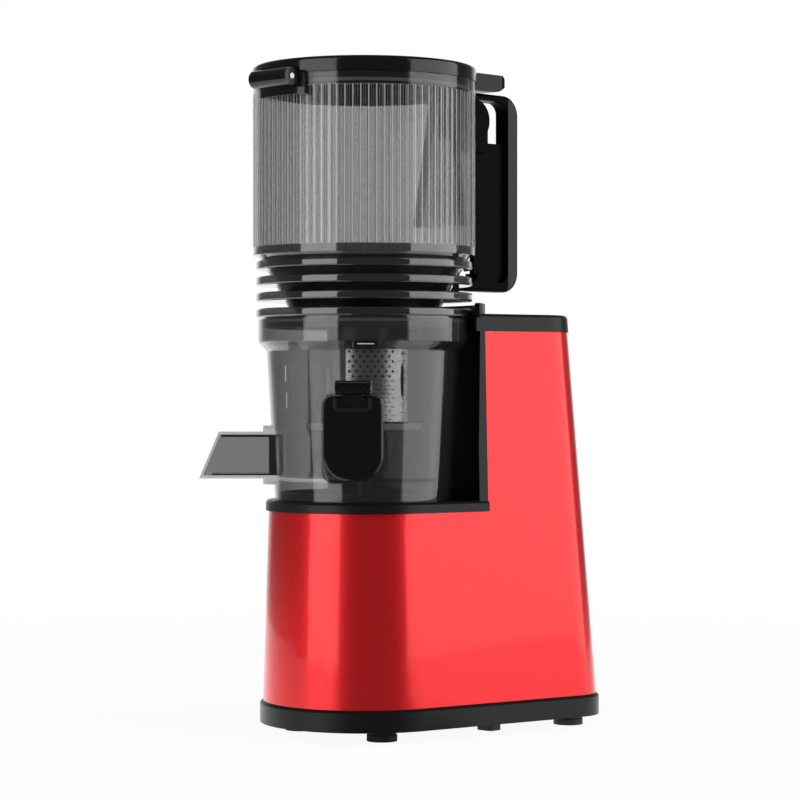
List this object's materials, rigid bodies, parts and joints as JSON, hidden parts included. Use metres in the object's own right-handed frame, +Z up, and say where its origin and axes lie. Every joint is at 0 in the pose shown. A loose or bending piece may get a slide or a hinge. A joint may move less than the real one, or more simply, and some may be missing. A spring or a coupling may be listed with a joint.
{
  "type": "cold press juicer",
  "caption": "Slow juicer: motor base with a rear column, clear drum with auger, strainer, spout and flap, and a fluted lidded hopper with a handle",
  "frame": {"origin": "centre of the bounding box at the height of the feet's undersides", "axes": "+Z up, front of the machine at -Y, column and handle at +Y, +X to the right seen from the front"},
  "size_m": [0.187, 0.2372, 0.4466],
  "materials": {
    "red_shell": "high gloss candy red",
    "black_trim": "fine satin",
    "black_gloss": "gloss moulded",
    "smoky_clear": "smoky transparent",
    "auger_plastic": "satin dark",
    "rubber_black": "matte",
    "silicone": "satin silicone",
    "steel": "brushed",
    "steel_mesh": "perforated",
    "gear_plastic": "satin acetal",
    "copper": "enamelled wire",
    "aluminium": "satin",
    "circuit_board": "solder mask",
    "brass_pin": "plated"
  },
  "bodies": {
    "base": {"base_plate": "black_trim", "rubber_feet": "rubber_black", "side_pads": "rubber_black", "base_screws": "steel", "body_shell": "red_shell", "deck_frame": "black_trim", "column_liner": "black_trim", "column_cap": "black_trim", "knob_bezel": "black_trim", "selector_switch": "black_trim", "power_inlet": "black_trim", "inlet_pins": "brass_pin", "gearbox_case": "black_trim", "gearbox_cover": "black_trim", "gearbox_screws": "steel", "shaft_bushes": "brass_pin", "deck_bearing": "steel", "deck_seal": "rubber_black", "idler_axle": "steel", "motor_can": "steel", "motor_stator": "steel", "motor_windings": "copper", "motor_bearings": "steel", "motor_end_bell": "aluminium", "motor_screws": "steel", "control_board": "circuit_board", "board_screws": "steel", "run_capacitor": "aluminium", "interlock_sensor": "black_trim"},
    "motor": {"motor_rotor": "steel", "motor_pinion": "steel", "motor_fan": "gear_plastic"},
    "idler": {"idler_gear": "gear_plastic"},
    "output": {"output_gear": "gear_plastic", "drive_shaft": "steel"},
    "knob": {"selector_knob": "black_gloss"},
    "drum": {"drum_bowl": "smoky_clear", "shaft_seal": "silicone", "strainer_frame": "smoky_clear", "strainer_mesh": "steel_mesh", "outlet_bracket": "black_gloss", "juice_cap_pin": "steel"},
    "auger": {"auger": "auger_plastic"},
    "juice_cap": {"juice_cap": "black_gloss", "juice_cap_seal": "silicone"},
    "hopper": {"hopper": "smoky_clear", "bowl_gasket": "silicone", "handle_plate": "black_gloss", "hopper_handle": "black_gloss", "handle_screws": "steel", "interlock_magnet": "steel", "button_spring": "steel", "lid_bracket": "black_gloss", "lid_hinge_pin": "steel"},
    "lid": {"lid": "black_gloss", "lid_gasket": "silicone"},
    "button": {"latch_button": "black_gloss"}
  },
  "joints": [
    {"name": "motor_spin", "type": "hinge", "parent": "base", "child": "motor", "pos_m": [0, 0.063, 0.095], "axis": [0, 0, 1], "continuous": true},
    {"name": "idler_spin", "type": "hinge", "parent": "base", "child": "idler", "pos_m": [0, 0.027, 0.04], "axis": [0, 0, 1], "continuous": true},
    {"name": "output_spin", "type": "hinge", "parent": "base", "child": "output", "pos_m": [0, -0.031, 0.04], "axis": [0, 0, 1], "continuous": true},
    {"name": "auger_spin", "type": "hinge", "parent": "drum", "child": "auger", "pos_m": [0, -0.031, 0.2], "axis": [0, 0, 1], "continuous": true},
    {"name": "knob_turn", "type": "hinge", "parent": "base", "child": "knob", "pos_m": [-0.07542, 0.014, 0.105], "axis": [-0.9799, -0.1994, 0], "range_deg": [-45, 45]},
    {"name": "drum_lift", "type": "slide", "parent": "base", "child": "drum", "axis": [0, 0, 1], "range_m": [0, 0.06]},
    {"name": "hopper_lift", "type": "slide", "parent": "drum", "child": "hopper", "axis": [0, 0, 1], "range_m": [0, 0.06]},
    {"name": "juice_cap_swing", "type": "hinge", "parent": "drum", "child": "juice_cap", "pos_m": [0.05001, -0.08955, 0.2295], "axis": [-0.7604, -0.6494, 0], "range_deg": [0, 100]},
    {"name": "lid_swing", "type": "hinge", "parent": "hopper", "child": "lid", "pos_m": [0, -0.1128, 0.429], "axis": [1, 0, 0], "range_deg": [0, 110]},
    {"name": "button_press", "type": "slide", "parent": "hopper", "child": "button", "axis": [-1, 0, 0], "range_m": [0, 0.0025], "stiffness_N_per_m": 400, "springref_m": -0.002, "deforming": ["button_spring"]}
  ],
  "couplings": [
    {"joint": "idler_spin", "follows": "motor_spin", "ratio": -0.2},
    {"joint": "output_spin", "follows": "motor_spin", "ratio": 0.032},
    {"joint": "auger_spin", "follows": "motor_spin", "ratio": 0.032}
  ]
}
